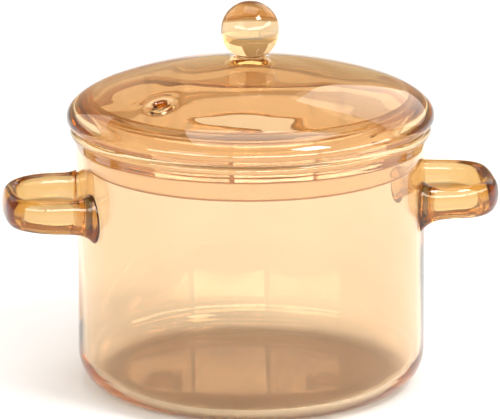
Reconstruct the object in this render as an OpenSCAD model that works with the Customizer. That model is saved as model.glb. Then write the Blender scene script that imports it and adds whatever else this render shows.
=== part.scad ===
// Lidded cooking pot in clear tinted borosilicate glass, with two loop handles and a lift-off domed lid.
// Origin: middle of the pot's flat base. +Z is up, +X runs through the handles. Millimetres.

/* [Pot] */

// outside diameter of the straight wall
pot_d = 160; // [140:1:200]
// height of the rim, where the lid rests
pot_h = 122.5; // [100:0.5:160]
// thickness of the wall
pot_wall = 3; // [2.5:0.1:4]
// thickness of the base
pot_base = 4; // [3:0.1:6]
// outside radius of the corner between base and wall
base_corner = 16; // [8:0.5:24]
// radius of the fire-polished bead round the rim
rim_bead_r = 2.8; // [2.2:0.1:3.4]

/* [Lid] */

// how far the lid's widest edge stands out beyond the pot wall
lid_overhang = 4.1; // [3:0.1:6]
// height of the lid's widest edge over the rim
lid_edge_h = 3.3; // [2.5:0.1:4.5]
// height of the crown above the lid's widest edge
crown_h = 27.1; // [16:0.1:40]
// thickness of the domed shell
lid_wall = 3.2; // [2.5:0.1:4]
// width of the flat seat under the edge
seat_w = 2.8; // [2:0.1:3.5]

/* [Locating ring] */

// gap between the ring and the inside of the pot wall
ring_gap = 1.6; // [1:0.1:3]
// thickness of the ring
ring_wall = 2.6; // [2:0.1:3.5]
// how deep the ring hangs below the rim
ring_depth = 17.8; // [10:0.1:25]

/* [Steam vent] */

// diameter of the vent hole
vent_d = 5.8; // [4:0.1:8]
// width of the thickened lip round the hole
vent_lip_w = 3.1; // [2.4:0.1:3.6]
// distance of the vent from the middle of the lid
vent_pos = 59.5; // [35:0.5:62]
// direction of the vent, counted from +X
vent_angle = 220; // [0:1:359]

/* [Knob] */

// diameter of the ball
knob_d = 26.7; // [22:0.1:34]
// height of the ball's middle above the lid's widest edge
knob_rise = 39.4; // [39:0.1:41]
// diameter of the neck under the ball
neck_d = 14.5; // [12:0.1:16]
// width of the flare where the neck meets the dome
neck_flare = 4.5; // [3:0.1:6]

/* [Handles] */

// how far each handle stands out from the pot wall
handle_reach = 34.4; // [30:0.1:42]
// distance between the middles of the two arms
handle_span = 50.2; // [46:0.2:60]
// height of the glass strap
strap_h = 15.3; // [12:0.1:18]
// thickness of the glass strap
strap_t = 8; // [7:0.1:9]
// radius of the corners, to the middle of the strap
corner_r = 19; // [15:0.5:21]
// height of the handles above the base
handle_z = 87; // [60:0.5:95]
// radius of the flared feet that are fused to the wall
foot_r = 7.2; // [6.5:0.1:8]

/* [Hidden] */

$fn = 96;
pot_r = pot_d / 2;
pot_bore_r = pot_r - pot_wall;
rim_z = pot_h;
lid_r = pot_r + lid_overhang;
edge_z = rim_z + lid_edge_h;
ring_r = pot_bore_r - ring_gap;
ring_bore_r = ring_r - ring_wall;
knob_r = knob_d / 2;
knob_z = edge_z + knob_rise;
neck_r = neck_d / 2;
crown_top = edge_z + crown_h;
tip_x = pot_r + handle_reach - strap_t / 2;
arm_y = handle_span / 2;
strap_r = strap_t / 2;
strap_mid = strap_h / 2 - strap_r;
// The bead's round is cut level this far below its top, which gives the lid a flat seat.
rim_cut = 0.2;
// The lip round the vent is two rounds, this far above and below the middle of the shell.
vent_lip_rise = 1;
// Fused pieces start this far inside their neighbour, before its shape is cut away from them.
arm_sink = 8;
neck_sink = 6;
flare_sink = 3;

// The crown follows a superellipse: nearly a straight cone in the middle, with a full shoulder.
crown_p = 1.06;
crown_q = 2.07;
crown_steps = 30;
function crown_r(s) = lid_r * pow(sin(s), 2 / crown_p);
function crown_z(s) = edge_z + crown_h * pow(cos(s), 2 / crown_q);
function rate_r(s) = 2 / crown_p * lid_r * pow(sin(s), 2 / crown_p - 1) * cos(s);
function rate_z(s) = 2 / crown_q * crown_h * pow(cos(s), 2 / crown_q - 1) * sin(s);
function rate(s) = norm([rate_r(s), rate_z(s)]);
function inner_r(s) = crown_r(s) - lid_wall * rate_z(s) / rate(s);
function inner_z(s) = crown_z(s) - lid_wall * rate_r(s) / rate(s);

// Points from the middle out to the widest edge, and the same for the underside of the shell.
// The underside stops short of the seat and runs down to it at an even slope.
first_s = 9;
last_s = 87;
under_gap = 0.3;
under_slope = 0.9;
function step_s(i) = first_s + (last_s - first_s) * i / crown_steps;
seat_r = lid_r - lid_edge_h - seat_w;
outer_points = [for (i = [0:crown_steps]) [crown_r(step_s(i)), crown_z(step_s(i))]];
under_points = [
    for (i = [0:crown_steps]) if (inner_r(step_s(i)) < seat_r - under_gap)
        [inner_r(step_s(i)), inner_z(step_s(i))]
];
under_last = under_points[len(under_points) - 1];
under_end_z = under_last[1] - (seat_r - under_last[0]) * under_slope;
edge_points = [
    for (a = [0:-10:-90])
        [lid_r - lid_edge_h + lid_edge_h * cos(a), edge_z + lid_edge_h * sin(a)]
];
vent_s = asin(pow(vent_pos / lid_r, crown_p / 2));
vent_tilt = atan2(rate_z(vent_s), rate_r(vent_s));

// ---- pot ----

module pot_outline(r, h, corner) {
    square([r - corner, h]);
    translate([0, corner]) square([r, h - corner]);
    translate([r - corner, corner]) circle(r = corner);
}

module pot_bead() {
    intersection() {
        translate([pot_bore_r + rim_bead_r, rim_z + rim_cut - rim_bead_r]) circle(r = rim_bead_r);
        square([pot_bore_r + 2 * rim_bead_r, rim_z]);
    }
}

module pot_body() {
    color([0.80, 0.50, 0.26, 0.35])
    rotate_extrude() {
        difference() {
            intersection() {
                pot_outline(pot_r, rim_z - rim_bead_r, base_corner);
                square([pot_r, rim_z]);
            }
            translate([0, pot_base])
                intersection() {
                    pot_outline(pot_bore_r, rim_z, base_corner - pot_wall);
                    square([pot_bore_r, rim_z]);
                }
        }
        pot_bead();
    }
}

// ---- handles ----

module strap_section() {
    translate([-strap_r, -strap_mid]) square([strap_t, strap_mid * 2]);
    translate([0, strap_mid]) circle(r = strap_r);
    translate([0, -strap_mid]) circle(r = strap_r);
}

// Outline of one flared foot: x is the radius about the arm, y runs outward from the pot wall.
foot_l = 10.5;
foot_steps = 6;
foot_curve = 2.8;
foot_points = concat(
    [[0, -arm_sink], [foot_r, -arm_sink]],
    [
        for (i = [0:foot_steps])
            [strap_r + (foot_r - strap_r) * pow(1 - i / foot_steps, foot_curve), foot_l * i / foot_steps]
    ],
    [[0, foot_l]]
);

module foot() {
    for (z = [-strap_mid, strap_mid])
        translate([0, 0, z]) rotate([0, 90, 0]) rotate_extrude() polygon(foot_points);
    translate([0, 0, -strap_mid])
        linear_extrude(height = strap_mid * 2)
            for (m = [0, 1]) mirror([0, m]) polygon([for (p = foot_points) [p[1], p[0]]]);
}

module arm() {
    wall_x = sqrt(pot_r * pot_r - arm_y * arm_y);
    start_x = wall_x - arm_sink;
    translate([start_x, arm_y, 0])
        rotate([90, 0, 90])
            linear_extrude(height = tip_x - corner_r - start_x) strap_section();
    translate([wall_x, arm_y, 0]) foot();
    translate([tip_x - corner_r, arm_y - corner_r, 0])
        rotate_extrude(angle = 90) translate([corner_r, 0]) strap_section();
}

module handle() {
    difference() {
        translate([0, 0, handle_z]) {
            arm();
            mirror([0, 1, 0]) arm();
            translate([tip_x, arm_y - corner_r, 0])
                rotate([90, 0, 0])
                    linear_extrude(height = (arm_y - corner_r) * 2) strap_section();
        }
        cylinder(r = pot_r, h = pot_h * 2);
    }
}

module right_handle() {
    color([0.72, 0.40, 0.16, 0.45]) handle();
}

module left_handle() {
    color([0.72, 0.40, 0.16, 0.45]) mirror([1, 0, 0]) handle();
}

// ---- lid ----

module under_crown() {
    polygon(concat(
        [[0, 0], [0, under_points[0][1]]],
        under_points,
        [[seat_r, under_end_z], [seat_r, 0]]
    ));
}

module crown_solid() {
    rotate_extrude()
        polygon(concat([[0, 0], [0, outer_points[0][1]]], outer_points, [[lid_r, edge_z], [lid_r, 0]]));
}

module vent_place() {
    rotate([0, 0, vent_angle])
        translate([vent_pos, 0, crown_z(vent_s)])
            rotate([0, vent_tilt, 0])
                translate([0, 0, -lid_wall / 2]) children();
}

module lid_dome() {
    color([0.84, 0.56, 0.34, 0.35])
    difference() {
        union() {
            rotate_extrude()
                difference() {
                    polygon(concat(
                        [[0, rim_z], [0, outer_points[0][1]]],
                        outer_points,
                        edge_points
                    ));
                    under_crown();
                }
            vent_place()
                rotate_extrude() {
                    translate([vent_d / 2, -vent_lip_rise]) square([vent_lip_w, 2 * vent_lip_rise]);
                    for (z = [-vent_lip_rise, vent_lip_rise])
                        translate([vent_d / 2 + vent_lip_w / 2, z]) circle(r = vent_lip_w / 2);
                }
        }
        vent_place() cylinder(r = vent_d / 2, h = 4 * lid_wall, center = true);
    }
}

module lid_locating_ring() {
    color([0.84, 0.56, 0.34, 0.35])
    rotate_extrude() {
        intersection() {
            translate([ring_bore_r, rim_z - ring_depth + ring_wall / 2]) square([ring_wall, ring_depth + crown_h]);
            under_crown();
        }
        translate([ring_bore_r + ring_wall / 2, rim_z - ring_depth + ring_wall / 2])
            circle(r = ring_wall / 2);
    }
}

module lid_knob() {
    color([0.84, 0.56, 0.34, 0.45])
    difference() {
        union() {
            translate([0, 0, knob_z]) sphere(r = knob_r);
            translate([0, 0, crown_top - neck_sink]) cylinder(r = neck_r, h = knob_z - crown_top + neck_sink);
            translate([0, 0, crown_top - flare_sink])
                cylinder(r1 = neck_r + neck_flare + 1, r2 = neck_r, h = neck_flare);
        }
        crown_solid();
    }
}

pot_body();
left_handle();
right_handle();
lid_dome();
lid_locating_ring();
lid_knob();
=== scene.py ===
import math

import bpy
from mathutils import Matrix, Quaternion, Vector


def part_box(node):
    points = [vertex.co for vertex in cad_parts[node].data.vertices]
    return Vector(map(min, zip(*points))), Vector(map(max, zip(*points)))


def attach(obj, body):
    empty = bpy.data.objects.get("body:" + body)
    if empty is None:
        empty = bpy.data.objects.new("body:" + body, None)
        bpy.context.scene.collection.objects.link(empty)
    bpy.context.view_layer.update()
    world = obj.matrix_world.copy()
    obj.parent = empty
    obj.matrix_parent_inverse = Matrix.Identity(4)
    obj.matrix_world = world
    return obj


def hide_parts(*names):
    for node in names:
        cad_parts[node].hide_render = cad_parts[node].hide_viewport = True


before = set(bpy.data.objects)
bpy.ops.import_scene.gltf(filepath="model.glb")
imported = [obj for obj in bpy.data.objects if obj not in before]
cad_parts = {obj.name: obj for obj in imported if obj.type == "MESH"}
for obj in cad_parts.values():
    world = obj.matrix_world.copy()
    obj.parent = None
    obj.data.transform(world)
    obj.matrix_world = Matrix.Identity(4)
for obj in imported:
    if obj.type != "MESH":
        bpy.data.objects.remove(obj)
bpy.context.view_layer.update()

MM = 0.001
TAU = 2 * math.pi
ON_AXIS = 1e-6                     # a smaller radius counts as a point on the axis

# ---------------------------------------------------------------- sizes in mm, places from the CAD frame

pot_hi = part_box("pot_body")[1]
lid_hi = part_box("lid_dome")[1]
ring_lo, ring_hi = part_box("lid_locating_ring")
knob_lo, knob_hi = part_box("lid_knob")
handle_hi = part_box("right_handle")[1]

SINK = 0.7                         # how far a fused piece reaches into its neighbour

# pot
RIM_Z = pot_hi.z / MM              # top of the pot's rim
BEAD_R = pot_hi.x / MM             # outside of the rim bead
BEAD = 2.8                         # radius of the bead
BORE_R = BEAD_R - 2 * BEAD         # inside of the pot wall
WALL = 3.0
POT_R = BORE_R + WALL              # outside of the pot wall
BASE = 4.0                         # thickness of the base
CORNER = 16.0                      # outside radius between base and wall
PUSH_UP = 0.55                     # hollow in the middle of the underside
BASE_SWELL = 0.35                  # rise in the middle of the base's upper face
MID_Z = 60.0                       # a height halfway up the straight wall
FLARE_DROP = 9.5                   # the wall starts to flare this far below the rim
FLARE_HEIGHT = 5.6
FLARE_OUT = 1.9

# dome
LID_R = lid_hi.x / MM              # widest edge of the lid
EDGE = 3.3                         # rounding of the lid's edge
EDGE_Z = RIM_Z + EDGE
CROWN = 27.1                       # height of the crown over the widest edge
CROWN_P = 1.06                     # superellipse exponents of the crown
CROWN_Q = 2.07
LEVEL_R = 3.0                      # within this radius, under the neck, the dome's slope fades out
TIP_R = 0.6                        # within this radius its pointed tip is cut off
SHELL = 3.2                        # thickness of the dome
SEAT_R = LID_R - EDGE - 2.8        # inner edge of the seat
SEAT_ROUND = 0.9                   # rounding of that edge
WAVE_END = 75.0                    # the dome's waves die out before its shoulder
INNER_PHASE = 1.3                  # the inner skin's waves are shifted by this

# steam vent
VENT_R = 59.5                      # distance of the vent from the middle
VENT_A = math.radians(220)
VENT_HOLE = 2.9                    # radius of the hole
VENT_ROUND = 1.5                   # rounding of its lip
VENT_SWELL = 0.45                  # how far the lip stands proud
VENT_FADE = 3.0                    # and how far from the lip that dies out
LIP_R = VENT_HOLE + VENT_ROUND     # where the lip meets the dome

# locating ring
RING_R = ring_hi.x / MM
RING_T = 2.6                       # thickness of the ring
RING_Z = ring_lo.z / MM            # lowest point of the ring
RING_MID_Z = 118.0                 # a height halfway up its straight sides

# knob
KNOB_R = (knob_hi.x - knob_lo.x) / 2 / MM
KNOB_Z = knob_hi.z / MM - KNOB_R
NECK_R = 7.25
WAIST_R = NECK_R - 0.35            # radius of the narrowest place
NECK_Z = 153.6                     # height of the narrowest place
SWEEP_R = 13.5                     # where the dome starts to rise into the neck

# handles
ARM_Y = 25.1                       # middle of an arm, from the handle's own middle
STRAP_A = 4.0                      # half thickness of the strap
STRAP_B = 7.65                     # half height of the strap
HANDLE_Z = 87.0
TIP_X = handle_hi.x / MM - STRAP_A - 0.15
LOOP_X = 83.3                      # the arms bend into the loop from here on
FOOT_A = 2.7                       # how much the strap thickens at the wall, on each side
FOOT_B = 3.7                       # and how much it gains in half height
FOOT_FADE_A = 2.7                  # how far from the wall that dies out
FOOT_FADE_B = 3.3
FOOT_REACH = 9.0                   # the foot runs straight and follows the wall this far out
DROOP = 0.9                        # sag of the hot glass at the foot


# ---------------------------------------------------------------- mesh helpers

def make_mesh(name, points, faces):
    """A smooth-shaded object from points in mm."""
    mesh = bpy.data.meshes.new(name)
    mesh.from_pydata([(x * MM, y * MM, z * MM) for x, y, z in points], [], faces)
    mesh.validate()
    mesh.polygons.foreach_set("use_smooth", [True] * len(mesh.polygons))
    mesh.update()
    obj = bpy.data.objects.new(name, mesh)
    bpy.context.scene.collection.objects.link(obj)
    return obj


def smooth01(t):
    """Soft step: 0 below 0, 1 above 1, level at both ends."""
    t = min(1.0, max(0.0, t))
    return t * t * (3 - 2 * t)


def arc(cx, cy, r, a0, a1, n):
    """Points of an arc, angles in degrees, both ends included."""
    out = []
    for i in range(n + 1):
        a = math.radians(a0 + (a1 - a0) * i / n)
        out.append((cx + r * math.cos(a), cy + r * math.sin(a)))
    return out


def curve(start, bend, end, t):
    """Point at t on the quadratic curve from start to end that leans towards bend."""
    return tuple((1 - t) ** 2 * p + 2 * t * (1 - t) * q + t * t * w for p, q, w in zip(start, bend, end))


def resample(path, step):
    """The path with extra points so that none is further than step from the next."""
    out = [path[0]]
    for p, q in zip(path, path[1:]):
        n = max(1, math.ceil(math.dist(p, q) / step))
        for i in range(1, n + 1):
            out.append(tuple(a + (b - a) * i / n for a, b in zip(p, q)))
    return out


def band(faces, lo, hi, flip=False):
    """Adds the faces between two closed rows of vertices. One of the rows may be a single vertex."""
    n = max(len(lo), len(hi))
    for k in range(n):
        m = (k + 1) % n
        if len(lo) == 1:
            face = (lo[0], hi[m], hi[k])
        elif len(hi) == 1:
            face = (lo[k], lo[m], hi[0])
        else:
            face = (lo[k], lo[m], hi[m], hi[k])
        faces.append((face[0],) + face[:0:-1] if flip else face)


def lathe(name, profile, turns, wave):
    """A closed turned body. The profile runs from axis to axis or round a closed loop, outside first."""
    points, rings = [], []
    for r, z in profile:
        if r < ON_AXIS:
            rings.append([len(points)])
            points.append((0.0, 0.0, z))
            continue
        ring = []
        for k in range(turns):
            a = TAU * k / turns
            rr, zz = wave(r, z, a)
            ring.append(len(points))
            points.append((rr * math.cos(a), rr * math.sin(a), zz))
        rings.append(ring)
    pairs = list(zip(rings, rings[1:]))
    if profile[0][0] > ON_AXIS:
        pairs.append((rings[-1], rings[0]))
    faces = []
    for lo, hi in pairs:
        band(faces, lo, hi)
    return make_mesh(name, points, faces)


# ---------------------------------------------------------------- glass

# what a long way through the glass lets pass
DEEP_THIN = (0.85, 0.68, 0.13)
DEEP_SOLID = (0.81, 0.60, 0.08)
DEEP_BALL = (0.80, 0.64, 0.30)

TINT_DRIFT = 0.955                 # the tint's darkest places, against its lightest
FILM_ROUGHNESS = 0.015
FINE_MARKS = 0.06                  # height of the draw marks, against the waves
DRIFT_SCALE = 22.0
FILM_SCALE = 55.0
MARKS_SCALE = 48.0
WAVE_STRETCH = 0.55                # below 1, the waves are longer in height than across


def noise(nt, vector, scale, detail):
    """A noise texture on the given coordinates."""
    node = nt.nodes.new("ShaderNodeTexNoise")
    node.inputs["Scale"].default_value = scale
    node.inputs["Detail"].default_value = detail
    nt.links.new(vector, node.inputs["Vector"])
    return node


def stretched(nt, vector, z):
    """The coordinates with their height scaled by z."""
    node = nt.nodes.new("ShaderNodeMapping")
    node.inputs["Scale"].default_value = (1.0, 1.0, z)
    nt.links.new(vector, node.inputs["Vector"])
    return node.outputs["Vector"]


def bump(nt, height, distance):
    node = nt.nodes.new("ShaderNodeBump")
    node.inputs["Distance"].default_value = distance
    nt.links.new(height, node.inputs["Height"])
    return node


def glass(name, tint, ior, deep, density, wave_scale, wave_height, streak):
    """Tinted glass: the colour is partly in the surface and partly in the depth of the glass."""
    mat = bpy.data.materials.new(name)
    mat.use_nodes = True
    nt = mat.node_tree
    nt.nodes.clear()
    link = nt.links.new
    out = nt.nodes.new("ShaderNodeOutputMaterial")
    bsdf = nt.nodes.new("ShaderNodeBsdfPrincipled")
    bsdf.inputs["Transmission Weight"].default_value = 1.0
    bsdf.inputs["IOR"].default_value = ior
    link(bsdf.outputs["BSDF"], out.inputs["Surface"])
    place = nt.nodes.new("ShaderNodeTexCoord").outputs["Object"]

    # the tint drifts a little from place to place, as in hand-made glass
    ramp = nt.nodes.new("ShaderNodeValToRGB")
    ramp.color_ramp.elements[0].position = 0.3
    ramp.color_ramp.elements[0].color = (*[c * TINT_DRIFT for c in tint], 1)
    ramp.color_ramp.elements[1].position = 0.7
    ramp.color_ramp.elements[1].color = (*tint, 1)
    link(noise(nt, place, DRIFT_SCALE, 3.0).outputs["Fac"], ramp.inputs["Fac"])
    link(ramp.outputs["Color"], bsdf.inputs["Base Color"])

    # a faint film: washed and handled glass isn't equally sharp all over
    gloss = nt.nodes.new("ShaderNodeMapRange")
    gloss.inputs["From Min"].default_value = 0.35
    gloss.inputs["From Max"].default_value = 0.8
    gloss.inputs["To Min"].default_value = 0.0
    gloss.inputs["To Max"].default_value = FILM_ROUGHNESS
    link(noise(nt, place, FILM_SCALE, 5.0).outputs["Fac"], gloss.inputs["Value"])
    link(gloss.outputs["Result"], bsdf.inputs["Roughness"])

    # long soft waves from blowing and turning the glass in the flame, with finer draw marks
    wave = noise(nt, stretched(nt, place, WAVE_STRETCH), wave_scale, 2.5)
    wave.inputs["Roughness"].default_value = 0.42
    fine = noise(nt, stretched(nt, place, streak), MARKS_SCALE, 1.0)
    waves = bump(nt, wave.outputs["Fac"], wave_height)
    marks = bump(nt, fine.outputs["Fac"], wave_height * FINE_MARKS)
    link(waves.outputs["Normal"], marks.inputs["Normal"])
    link(marks.outputs["Normal"], bsdf.inputs["Normal"])

    soak = nt.nodes.new("ShaderNodeVolumeAbsorption")
    soak.inputs["Color"].default_value = (*deep, 1)
    soak.inputs["Density"].default_value = density
    link(soak.outputs["Volume"], out.inputs["Volume"])
    return mat


POT_GLASS = glass(
    "pot_glass", tint=(0.925, 0.79, 0.64), ior=1.54, deep=DEEP_THIN, density=40.0,
    wave_scale=16.0, wave_height=0.0002, streak=0.2,
)
LID_GLASS = glass(
    "lid_glass", tint=(0.93, 0.775, 0.615), ior=1.58, deep=DEEP_THIN, density=45.0,
    wave_scale=16.0, wave_height=0.0002, streak=1.0,
)
HANDLE_GLASS = glass(
    "handle_glass", tint=(0.90, 0.73, 0.52), ior=1.49, deep=DEEP_SOLID, density=135.0,
    wave_scale=40.0, wave_height=0.0001, streak=1.0,
)
KNOB_GLASS = glass(
    "knob_glass", tint=(0.95, 0.84, 0.71), ior=1.49, deep=DEEP_BALL, density=48.0,
    wave_scale=40.0, wave_height=0.0001, streak=1.0,
)


def finish_piece(obj, mat, body, node):
    """Gives a piece its glass and hangs it on its body in place of its CAD node."""
    obj.data.materials.append(mat)
    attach(obj, body)
    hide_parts(node)


# ---------------------------------------------------------------- pot

def pot_wave(r, z, a):
    """The blown wall isn't a perfect cylinder: long waves of about a tenth of a millimetre."""
    low, high, least_r = 2, RIM_Z - 8, 40
    if z < low or z > high or r < least_r:
        return r, z
    fade = smooth01((z - low) / 20) * smooth01((high - z) / 15)
    inside = r < POT_R - WALL / 2
    shift = 1.0 if inside else 0.0
    w = math.sin(3 * a + 0.4 + shift) * 0.10 + math.sin(5 * a + z * 0.035 + 2.1 * shift) * 0.07
    w += math.sin(z * 0.085 + 2 * a + 1.3 * shift) * 0.06
    if inside:
        return r + w * 0.8 * fade, z
    return r + (w - 0.10) * fade, z


def pot_profile():
    """From the middle of the underside, up the outside, over the bead and down to the middle inside."""
    out = [(r, PUSH_UP * (1 - smooth01(r / 56.0))) for r in [*range(0, 54, 6), 53, 57]]
    out += [(60.0, 0.0)] + arc(POT_R - CORNER, CORNER, CORNER, -90, 0, 30)
    out += [(POT_R, MID_Z), (POT_R, RIM_Z - FLARE_DROP)]
    # the wall flares smoothly into the fire-polished bead
    for t in [0.15, 0.3, 0.45, 0.6, 0.75, 0.88]:
        out.append((POT_R + smooth01(t) * FLARE_OUT, RIM_Z - FLARE_DROP + t * FLARE_HEIGHT))
    out += arc(BORE_R + BEAD, RIM_Z - BEAD, BEAD, -22, 180, 26)
    out += [(BORE_R, RIM_Z - 8.0), (BORE_R, MID_Z)]
    inner_corner = CORNER - WALL
    out += arc(BORE_R - inner_corner, BASE + inner_corner, inner_corner, 0, -90, 26)
    out += [(r, BASE + BASE_SWELL * (1 - smooth01(r / 60.0))) for r in [*range(58, 9, -6), 5, 0]]
    return resample(out, 2.4)


pot = lathe("pot_vessel", pot_profile(), 256, pot_wave)
finish_piece(pot, POT_GLASS, "pot", "pot_body")


# ---------------------------------------------------------------- handles

WALL_X = math.sqrt(POT_R ** 2 - ARM_Y ** 2)      # where the middle of an arm meets the wall
PATH_STEPS = 170
LOOP_STEPS = 400
CROWDING = 0.09                                  # the path's points lie closer together at the feet


def handle_path():
    """Centre line of the strap from foot to foot as (x, y, way along it), and its length."""
    reach = TIP_X - LOOP_X
    raw = [(WALL_X - SINK, ARM_Y)]
    for i in range(LOOP_STEPS + 1):
        t = math.pi * i / LOOP_STEPS
        y = ARM_Y * math.copysign(abs(math.cos(t)) ** (2 / 3), math.cos(t))
        raw.append((LOOP_X + reach * math.sin(t) ** (2 / 3), y))
    raw.append((WALL_X - SINK, -ARM_Y))
    total = [0.0]
    for p, q in zip(raw, raw[1:]):
        total.append(total[-1] + math.dist(p, q))
    out, j = [], 0
    for i in range(PATH_STEPS + 1):
        u = i / PATH_STEPS
        u = u + CROWDING * math.sin(TAU * u) / TAU * -1
        s = u * total[-1]
        while j < len(raw) - 2 and total[j + 1] < s:
            j += 1
        f = (s - total[j]) / max(1e-9, total[j + 1] - total[j])
        x, y = (a + (b - a) * f for a, b in zip(raw[j], raw[j + 1]))
        out.append((x, y, s))
    return out, total[-1]


def strap_direction(path, i, length):
    """Direction of the centre line at point i. It is straight out or in at the feet."""
    s = path[i][2]
    if s < FOOT_REACH:
        return 1.0, 0.0
    if s > length - FOOT_REACH:
        return -1.0, 0.0
    a, b = path[i - 1], path[i + 1]
    tx, ty = b[0] - a[0], b[1] - a[1]
    size = math.hypot(tx, ty)
    return tx / size, ty / size


def strap_ring(path, i, length, seed, around):
    """One section of the strap: a rounded flat shape that flares and droops towards the wall."""
    x, y, s = path[i]
    tx, ty = strap_direction(path, i, length)
    nx, ny = -ty, tx
    off_wall = max(0.0, min(s, length - s) - SINK)
    near = math.exp(-off_wall / FOOT_FADE_A)
    far = 1 - near
    foot = 1 if s < length / 2 else -1
    hump = 0.16 * math.sin(s * 0.23 + seed) + 0.10 * math.sin(s * 0.51 + 2 * seed)
    half_a = STRAP_A + FOOT_A * near
    half_a += (hump - 0.20) * far * 0.6
    half_b = STRAP_B + FOOT_B * math.exp(-off_wall / FOOT_FADE_B)
    half_b += (0.25 * math.sin(s * 0.17 + 1.7 * seed) - 0.15) * far
    droop = -DROOP * math.exp(-off_wall / 4.0)
    hug = 1 - smooth01(off_wall / FOOT_REACH)
    squareness = 2 / 2.2
    ring = []
    for k in range(around):
        t = TAU * k / around
        ct, st = math.cos(t), math.sin(t)
        u = half_a * math.copysign(abs(ct) ** squareness, ct)
        v = half_b * math.copysign(abs(st) ** squareness, st)
        # the worked foot isn't quite even
        u *= 1 + 0.07 * near * math.sin(3 * t + seed + foot)
        u += near * (-2.2 * v / half_b - 0.4) * (1 if st < 0 else 0.35)
        v *= 1 + 0.045 * near * math.sin(2 * t + 2 * seed - foot)
        px, py = x + nx * u, y + ny * u
        if hug > 0:
            px += hug * (math.sqrt(max(1.0, POT_R ** 2 - py ** 2)) - WALL_X)
        ring.append((px, py, HANDLE_Z + v + droop))
    return ring


def wall_cap(points, ring):
    """Faces that close a foot just inside the glass of the wall, along its curve."""
    cy = sum(points[i][1] for i in ring) / len(ring)
    cz = sum(points[i][2] for i in ring) / len(ring)
    side = math.copysign(1, points[ring[0]][0])
    cap, last = [], ring
    for f in (0.75, 0.5, 0.25):
        row = []
        for i in ring:
            py = cy + (points[i][1] - cy) * f
            pz = cz + (points[i][2] - cz) * f
            row.append(len(points))
            points.append((side * (math.sqrt(POT_R ** 2 - py ** 2) - SINK), py, pz))
        band(cap, last, row)
        last = row
    points.append((side * (math.sqrt(POT_R ** 2 - cy ** 2) - SINK), cy, cz))
    band(cap, last, [len(points) - 1])
    return cap


def handle(name, side, seed):
    """A bent strap on the +X (side 1) or -X (side -1) side of the pot."""
    path, length = handle_path()
    around = 56
    points, rings = [], []
    for i in range(len(path)):
        rings.append(list(range(len(points), len(points) + around)))
        points += [(x * side, y, z) for x, y, z in strap_ring(path, i, length, seed, around)]
    faces = []
    for lo, hi in zip(rings, rings[1:]):
        band(faces, lo, hi)
    faces += [face[::-1] for face in wall_cap(points, rings[0])]
    faces += wall_cap(points, rings[-1])
    if side < 0:
        faces = [face[::-1] for face in faces]
    return make_mesh(name, points, faces)


right = handle("handle_loop_right", 1, 0.7)
left = handle("handle_loop_left", -1, 2.9)
finish_piece(right, HANDLE_GLASS, "pot", "right_handle")
finish_piece(left, HANDLE_GLASS, "pot", "left_handle")


# ---------------------------------------------------------------- lid dome

def crown_z(r):
    """Height of the crown at radius r."""
    return EDGE_Z + CROWN * max(0.0, 1 - (r / LID_R) ** CROWN_P) ** (1 / CROWN_Q)


def crown_normal(r):
    """Outward normal of the crown in the (r, z) plane."""
    h = 0.02
    r = max(r, LEVEL_R)
    further = min(LID_R, r + h)
    dz = (crown_z(further) - crown_z(r - h)) / (further - r + h)
    n = math.hypot(1, dz)
    return -dz / n, 1 / n


def crown_wave(r, a, shift):
    """Long low waves of the blown dome, in mm. They die out under the knob, at the vent and at the edge."""
    x, y = r * math.cos(a), r * math.sin(a)
    w = 0.10 * math.sin(0.055 * x + 0.030 * y + 0.6 + shift)
    w = w + 0.06 * math.sin(0.085 * y - 0.03 * x + 1.9 + 2 * shift)
    w += 0.008 * math.sin(0.18 * x + 0.12 * y + 3 * shift)
    off_vent = math.dist((x, y), (VENT_R * math.cos(VENT_A), VENT_R * math.sin(VENT_A)))
    fade = smooth01((r - 22) / 20) * smooth01((WAVE_END - r) / 12) * smooth01((off_vent - 6) / 9)
    return (w - 0.10) * fade


def shell_point(r, a, depth, lift=0.0):
    """Point at this depth under the crown, at radius r and angle a, raised by lift."""
    nr, nz = crown_normal(r)
    if r < LEVEL_R:
        nr *= r / LEVEL_R
    lift += crown_wave(r, a, 0.0 if depth < SHELL / 2 else INNER_PHASE)
    rr = r - nr * (depth - lift)
    zz = crown_z(max(r, TIP_R)) - nz * (depth - lift)
    return rr * math.cos(a), rr * math.sin(a), zz


# The two skins of the dome are one grid of rows and columns. Column 0 runs through the vent.
COLUMNS = 320
VENT_ROW = 51
ROW_STEP = VENT_R / VENT_ROW
ROW_R = [i * ROW_STEP for i in range(66)]
NECK_ROW = 12                      # the outer skin starts here, where the neck's sweep ends
HOLE = 4                           # half width of the vent's hole, in cells
BLOCK = 11                         # half width of the square of cells that bends round the hole
LIP_LEVELS = 14
VENT_TILT = math.atan2(*crown_normal(VENT_R))


def from_vent(j):
    """Column j counted both ways from the vent."""
    return j if j <= COLUMNS // 2 else j - COLUMNS


def grid_point(i, j, depth, sign):
    """Vertex of row i, column j on the outer (sign 1) or inner (sign -1) skin."""
    di, dj = i - VENT_ROW, from_vent(j)
    m = max(abs(di), abs(dj))
    if m > BLOCK:
        return shell_point(ROW_R[i], VENT_A + TAU * j / COLUMNS, depth)
    # the square rings of cells turn into circles towards the hole
    w = smooth01((m - HOLE) / (BLOCK - HOLE))
    rho = LIP_R + (m - HOLE) / (BLOCK - HOLE) * (BLOCK * ROW_STEP - LIP_R)
    u0, v0 = di * ROW_STEP, dj * ROW_STEP
    ang = math.atan2(v0, u0)
    u = (1 - w) * rho * math.cos(ang) + w * u0
    v = (1 - w) * rho * math.sin(ang) + w * v0
    x = VENT_R + ((1 - w) * u * math.cos(VENT_TILT) + w * u)
    r = math.hypot(x, v) * (1 - w) + ROW_R[i] * w
    a = math.atan2(v, x) * (1 - w) + TAU * dj / COLUMNS * w
    swell = VENT_SWELL * (1 - smooth01((math.hypot(u, v) - LIP_R) / VENT_FADE))
    return shell_point(r, VENT_A + a, depth, sign * swell)


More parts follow.
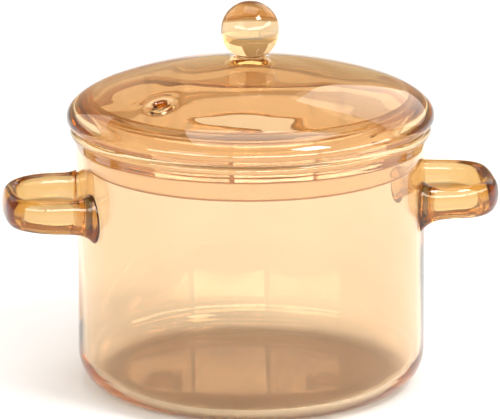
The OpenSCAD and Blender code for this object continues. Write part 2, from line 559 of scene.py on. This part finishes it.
def in_hole(i, j):
    """True where the cell that starts at row i, column j lies in the vent's hole."""
    return -HOLE <= i - VENT_ROW < HOLE and -HOLE <= from_vent(j) < HOLE


def skin(points, faces, depth, sign):
    """One skin of the dome. The outer one (sign 1) is open in the middle, where the neck stands."""
    first = NECK_ROW if sign > 0 else 0
    grid = [None] * first
    for i in range(first, len(ROW_R)):
        if i == 0:
            grid.append([len(points)])
            points.append(shell_point(0.0, 0.0, depth))
            continue
        row = []
        for j in range(COLUMNS):
            if max(abs(i - VENT_ROW), abs(from_vent(j))) < HOLE:
                row.append(None)
                continue
            row.append(len(points))
            points.append(grid_point(i, j, depth, sign))
        grid.append(row)
    for i in range(first, len(ROW_R) - 1):
        for j in range(COLUMNS):
            k = (j + 1) % COLUMNS
            if in_hole(i, j):
                continue
            if i == 0:
                face = (grid[0][0], grid[1][j], grid[1][k])
            else:
                face = (grid[i][j], grid[i + 1][j], grid[i + 1][k], grid[i][k])
            faces.append(face if sign > 0 else face[::-1])
    return grid


def level_row(points, r, z):
    """Adds one full turn of vertices at this radius and height."""
    row = []
    for j in range(COLUMNS):
        a = VENT_A + TAU * j / COLUMNS
        row.append(len(points))
        points.append((r * math.cos(a), r * math.sin(a), z))
    return row


def add_neck(points, faces, join):
    """From a level end inside the knob, down the sweep of the neck, to the outer skin's first row."""
    top, end = (WAIST_R, NECK_Z), (SWEEP_R, crown_z(SWEEP_R))
    bend = (NECK_R - 0.1, crown_z(NECK_R) + 0.25)
    chain = [(2.0, NECK_Z), (4.5, NECK_Z), (NECK_R - 0.8, NECK_Z)]
    chain += [curve(top, bend, end, i / 12) for i in range(13)]
    last = [len(points)]
    points.append((0.0, 0.0, NECK_Z))
    for r, z in chain:
        if r < ROW_R[NECK_ROW] - 0.25:
            row = level_row(points, r, z)
            band(faces, last, row, flip=True)
            last = row
    band(faces, last, join, flip=True)


def add_vent_lip(points, faces, top, under):
    """One rounded wall between the two skins, round the vent's hole."""
    side = range(-HOLE, HOLE)
    ring = [(-HOLE, d) for d in side] + [(d, HOLE) for d in side]
    ring += [(HOLE, -d) for d in side] + [(-d, -HOLE) for d in side]
    last = [top[VENT_ROW + di][dj % COLUMNS] for di, dj in ring]
    for q in range(1, LIP_LEVELS):
        psi = math.pi / 2 - math.pi * q / LIP_LEVELS
        d = LIP_R - VENT_ROUND * math.cos(psi)
        h = (SHELL / 2 + VENT_SWELL) * math.sin(psi)
        loop = []
        for di, dj in ring:
            ang = math.atan2(dj, di)
            x = VENT_R + d * math.cos(ang) * math.cos(VENT_TILT)
            y = d * math.sin(ang)
            loop.append(len(points))
            points.append(shell_point(math.hypot(x, y), VENT_A + math.atan2(y, x), SHELL / 2, h))
        band(faces, last, loop, flip=True)
        last = loop
    band(faces, last, [under[VENT_ROW + di][dj % COLUMNS] for di, dj in ring], flip=True)


def edge_profile():
    """Shoulder, rounded edge, seat and inner face, from the outer skin's last row to the inner one's."""
    r0 = ROW_R[-1]
    s0 = math.asin((r0 / LID_R) ** (CROWN_P / 2))
    out = []
    for i in range(1, 22):
        s = s0 + (math.radians(88.5) - s0) * i / 21
        out.append((LID_R * math.sin(s) ** (2 / CROWN_P), EDGE_Z + CROWN * math.cos(s) ** (2 / CROWN_Q)))
    out += arc(LID_R - EDGE, EDGE_Z, EDGE, 0, -90, 14)
    out.append((LID_R - EDGE - 1.0, RIM_Z))
    out += arc(SEAT_R + SEAT_ROUND, RIM_Z + SEAT_ROUND, SEAT_ROUND, -90, -180, 6)
    # the inner face curves over into the underside of the shell
    nr, nz = crown_normal(r0)
    start, bend = (SEAT_R, RIM_Z + 2.6), (SEAT_R, RIM_Z + 6.8)
    end = (r0 - nr * SHELL, crown_z(r0) - nz * SHELL)
    return out + [curve(start, bend, end, i / 12) for i in range(12)]


def dome():
    points, faces = [], []
    top = skin(points, faces, 0.0, 1)
    under = skin(points, faces, SHELL, -1)
    add_neck(points, faces, top[NECK_ROW])
    add_vent_lip(points, faces, top, under)
    last = top[-1]
    for r, z in edge_profile():
        row = level_row(points, r, z)
        band(faces, last, row, flip=True)
        last = row
    band(faces, last, under[-1], flip=True)
    return make_mesh("lid_crown", points, faces)


crown = dome()
finish_piece(crown, LID_GLASS, "lid", "lid_dome")


# ---------------------------------------------------------------- locating ring

def under_z(r):
    """Height of the dome's underside at radius r."""
    nr, nz = crown_normal(r)
    for _ in range(6):
        q = r + nr * SHELL
        nr, nz = crown_normal(q)
    return crown_z(q) - nz * SHELL


def ring_side(r, way):
    """One side of the ring, from above its tip up into the dome, with a fillet that spreads towards way."""
    return [
        (r, RING_Z + 6),
        (r, RING_MID_Z),
        (r, under_z(r) - 3.0),
        (r + 0.25 * way, under_z(r) - 1.4),
        (r + 0.9 * way, under_z(r + 0.9 * way) - 0.3),
        (r + 1.3 * way, under_z(r + 1.3 * way) + 0.7),
        (r, under_z(r) + SINK),
    ]


def ring_profile():
    inner_r, tip = RING_R - RING_T, RING_T / 2
    out = arc(inner_r + tip, RING_Z + tip, tip, -180, 0, 14)
    out += ring_side(RING_R, 1) + ring_side(inner_r, -1)[::-1]
    return resample(out, 2.0)


def ring_wave(r, z, a):
    """The ring is a little out of round, and less so towards the dome."""
    return r + (0.10 * math.sin(4 * a + z * 0.05) - 0.12) * smooth01((125 - z) / 10), z


ring = lathe("lid_skirt_ring", ring_profile(), 256, ring_wave)
finish_piece(ring, LID_GLASS, "lid", "lid_locating_ring")


# ---------------------------------------------------------------- knob

def knob_profile():
    """A short stub that reaches down into the neck, which belongs to the dome's glass, and the ball."""
    stub_z = NECK_Z - SINK
    out = [(0.0, stub_z), (3.0, stub_z), (WAIST_R - 0.5, stub_z), (WAIST_R - 0.12, stub_z + 0.15)]
    join = math.radians(-50)
    low, bend = (WAIST_R - 0.02, NECK_Z - 0.05), (WAIST_R + 0.15, NECK_Z + 0.75)
    end = (KNOB_R * math.cos(join), KNOB_Z + KNOB_R * math.sin(join))
    out += [curve(low, bend, end, i / 10) for i in range(10)]
    out += arc(0.0, KNOB_Z, KNOB_R, -50, 88, 64)
    out.append((0.0, KNOB_Z + KNOB_R))
    return out


def knob_wave(r, z, a):
    """The ball was shaped by hand, so it is a touch out of round."""
    fade = smooth01((z - NECK_Z - 2.0) / 8.0) * smooth01((KNOB_Z + KNOB_R - z) / 5.0)
    w = 0.009 * math.sin(2 * a + 0.12 * z) + 0.004 * math.sin(3 * a - 0.2 * z + 1.1) - 0.006
    return r * (1 + w * fade), z


knob = lathe("knob_ball", knob_profile(), 128, knob_wave)
finish_piece(knob, KNOB_GLASS, "lid", "lid_knob")


# ---------------------------------------------------------------- floor and surroundings

def floor_material():
    """Pale round the pot, turning a little warmer a few metres away."""
    mat = bpy.data.materials.new("floor_pale")
    mat.use_nodes = True
    nt = mat.node_tree
    bsdf = nt.nodes["Principled BSDF"]
    bsdf.inputs["Roughness"].default_value = 0.6
    coord = nt.nodes.new("ShaderNodeTexCoord")
    far = nt.nodes.new("ShaderNodeVectorMath")
    far.operation = "LENGTH"
    nt.links.new(coord.outputs["Object"], far.inputs[0])
    scaled = nt.nodes.new("ShaderNodeMath")
    scaled.operation = "DIVIDE"
    scaled.inputs[1].default_value = 10.0
    nt.links.new(far.outputs["Value"], scaled.inputs[0])
    ramp = nt.nodes.new("ShaderNodeValToRGB")
    ramp.color_ramp.elements[0].position = 0.28
    ramp.color_ramp.elements[0].color = (0.86, 0.85, 0.84, 1)
    ramp.color_ramp.elements[1].position = 0.6
    ramp.color_ramp.elements[1].color = (0.85, 0.81, 0.765, 1)
    nt.links.new(scaled.outputs["Value"], ramp.inputs["Fac"])
    nt.links.new(ramp.outputs["Color"], bsdf.inputs["Base Color"])
    return mat


def studio_world():
    """Glass sees a warm room, while the camera and the floor see neutral light."""
    world = bpy.data.worlds.new("studio")
    world.use_nodes = True
    nt = world.node_tree
    coord = nt.nodes.new("ShaderNodeTexCoord")
    height = nt.nodes.new("ShaderNodeSeparateXYZ")
    ramp = nt.nodes.new("ShaderNodeValToRGB")
    nt.links.new(coord.outputs["Generated"], height.inputs["Vector"])
    nt.links.new(height.outputs["Z"], ramp.inputs["Fac"])
    ramp.color_ramp.elements[0].position = 0.0
    ramp.color_ramp.elements[0].color = (0.98, 0.75, 0.48, 1)
    ramp.color_ramp.elements[1].position = 1.0
    ramp.color_ramp.elements[1].color = (0.34, 0.22, 0.13, 1)
    ramp.color_ramp.elements.new(0.55).color = (0.76, 0.54, 0.34, 1)
    path = nt.nodes.new("ShaderNodeLightPath")
    plain = nt.nodes.new("ShaderNodeMath")
    plain.operation = "MAXIMUM"
    nt.links.new(path.outputs["Is Diffuse Ray"], plain.inputs[0])
    nt.links.new(path.outputs["Is Camera Ray"], plain.inputs[1])
    mix = nt.nodes.new("ShaderNodeMixRGB")
    mix.inputs["Color2"].default_value = (0.77, 0.75, 0.73, 1)
    nt.links.new(plain.outputs["Value"], mix.inputs["Fac"])
    nt.links.new(ramp.outputs["Color"], mix.inputs["Color1"])
    back = nt.nodes["Background"]
    back.inputs["Strength"].default_value = 1.0
    nt.links.new(mix.outputs["Color"], back.inputs["Color"])
    return world


bpy.ops.mesh.primitive_circle_add(vertices=96, radius=14, fill_type="NGON", location=(0, 0, -0.0003))
floor = bpy.context.object
floor.name = "floor"
floor.data.materials.append(floor_material())

bpy.context.scene.world = studio_world()


# ---------------------------------------------------------------- lights

WHITE = (1, 1, 1)
WARM_WHITE = (1, 0.98, 0.96)
STRIP_WHITE = (1, 0.98, 0.97)
STRIP_AWAY, STRIP_UP = 2.9, 1.15   # distance and height of the strips, in metres


def softbox(name, place, target, width, height, power, colour):
    """A rectangular area light that faces its target."""
    light = bpy.data.lights.new(name, "AREA")
    light.shape = "RECTANGLE"
    light.size, light.size_y = width, height
    light.energy = power
    light.color = colour
    obj = bpy.data.objects.new(name, light)
    obj.location = place
    aim = Vector(target) - Vector(place)
    obj.rotation_mode = "QUATERNION"
    obj.rotation_quaternion = aim.to_track_quat("-Z", "Y")
    bpy.context.scene.collection.objects.link(obj)


softbox("key_left", (-1.6, -1.4, 1.3), (0, 0, 0.08), 1.0, 1.0, 9, WARM_WHITE)
softbox("window_back_right", (1.5, 1.9, 1.35), (0, 0, 0.1), 1.8, 1.5, 12, WARM_WHITE)
softbox("window_back_left", (-1.5, 1.9, 1.2), (0, 0, 0.1), 1.4, 1.2, 6, WARM_WHITE)
softbox("top", (0.1, 0.3, 2.4), (0, 0, 0), 1.6, 1.6, 25, WHITE)
softbox("small_window", (0.90, -0.92, 1.85), (0, 0, 0.15), 0.58, 0.58, 30, WHITE)
# three long strips in front give the bright lines along the lid's near edge
for azimuth, power in ((8, 76), (64, 54), (-48, 44)):
    turn = math.radians(azimuth)
    place = (STRIP_AWAY * math.sin(turn), -STRIP_AWAY * math.cos(turn), STRIP_UP)
    softbox("strip_%d" % azimuth, place, (0, 0, 0.1), 2.9, 0.55, power, STRIP_WHITE)


# ---------------------------------------------------------------- camera and render

AZIMUTH, ELEVATION, DISTANCE = math.radians(-7.4), math.radians(15.82), 2.026
ROLL = math.radians(-0.207)
PIVOT = Vector((0, 0, 0.065))
AIM = Vector((-0.0004, 0, 0.0806))

cam_data = bpy.data.cameras.new("camera")
cam_data.sensor_width = 36
cam_data.lens = 316.8
cam_data.clip_start, cam_data.clip_end = 0.05, 60
cam = bpy.data.objects.new("camera", cam_data)
bpy.context.scene.collection.objects.link(cam)
cam.location = PIVOT + DISTANCE * Vector((
    math.sin(AZIMUTH) * math.cos(ELEVATION),
    -math.cos(AZIMUTH) * math.cos(ELEVATION),
    math.sin(ELEVATION),
))
look = (AIM - cam.location).to_track_quat("-Z", "Y")
cam.rotation_mode = "QUATERNION"
cam.rotation_quaternion = look @ Quaternion((0, 0, 1), ROLL)
bpy.context.scene.camera = cam

view = bpy.context.scene.view_settings
view.view_transform = "Standard"
view.exposure = -0.35
cyc = bpy.context.scene.cycles
# light runs round inside the thick edges, so it needs many inner reflections
cyc.max_bounces = 80
cyc.transmission_bounces = 80
cyc.glossy_bounces = 64
cyc.transparent_max_bounces = 16
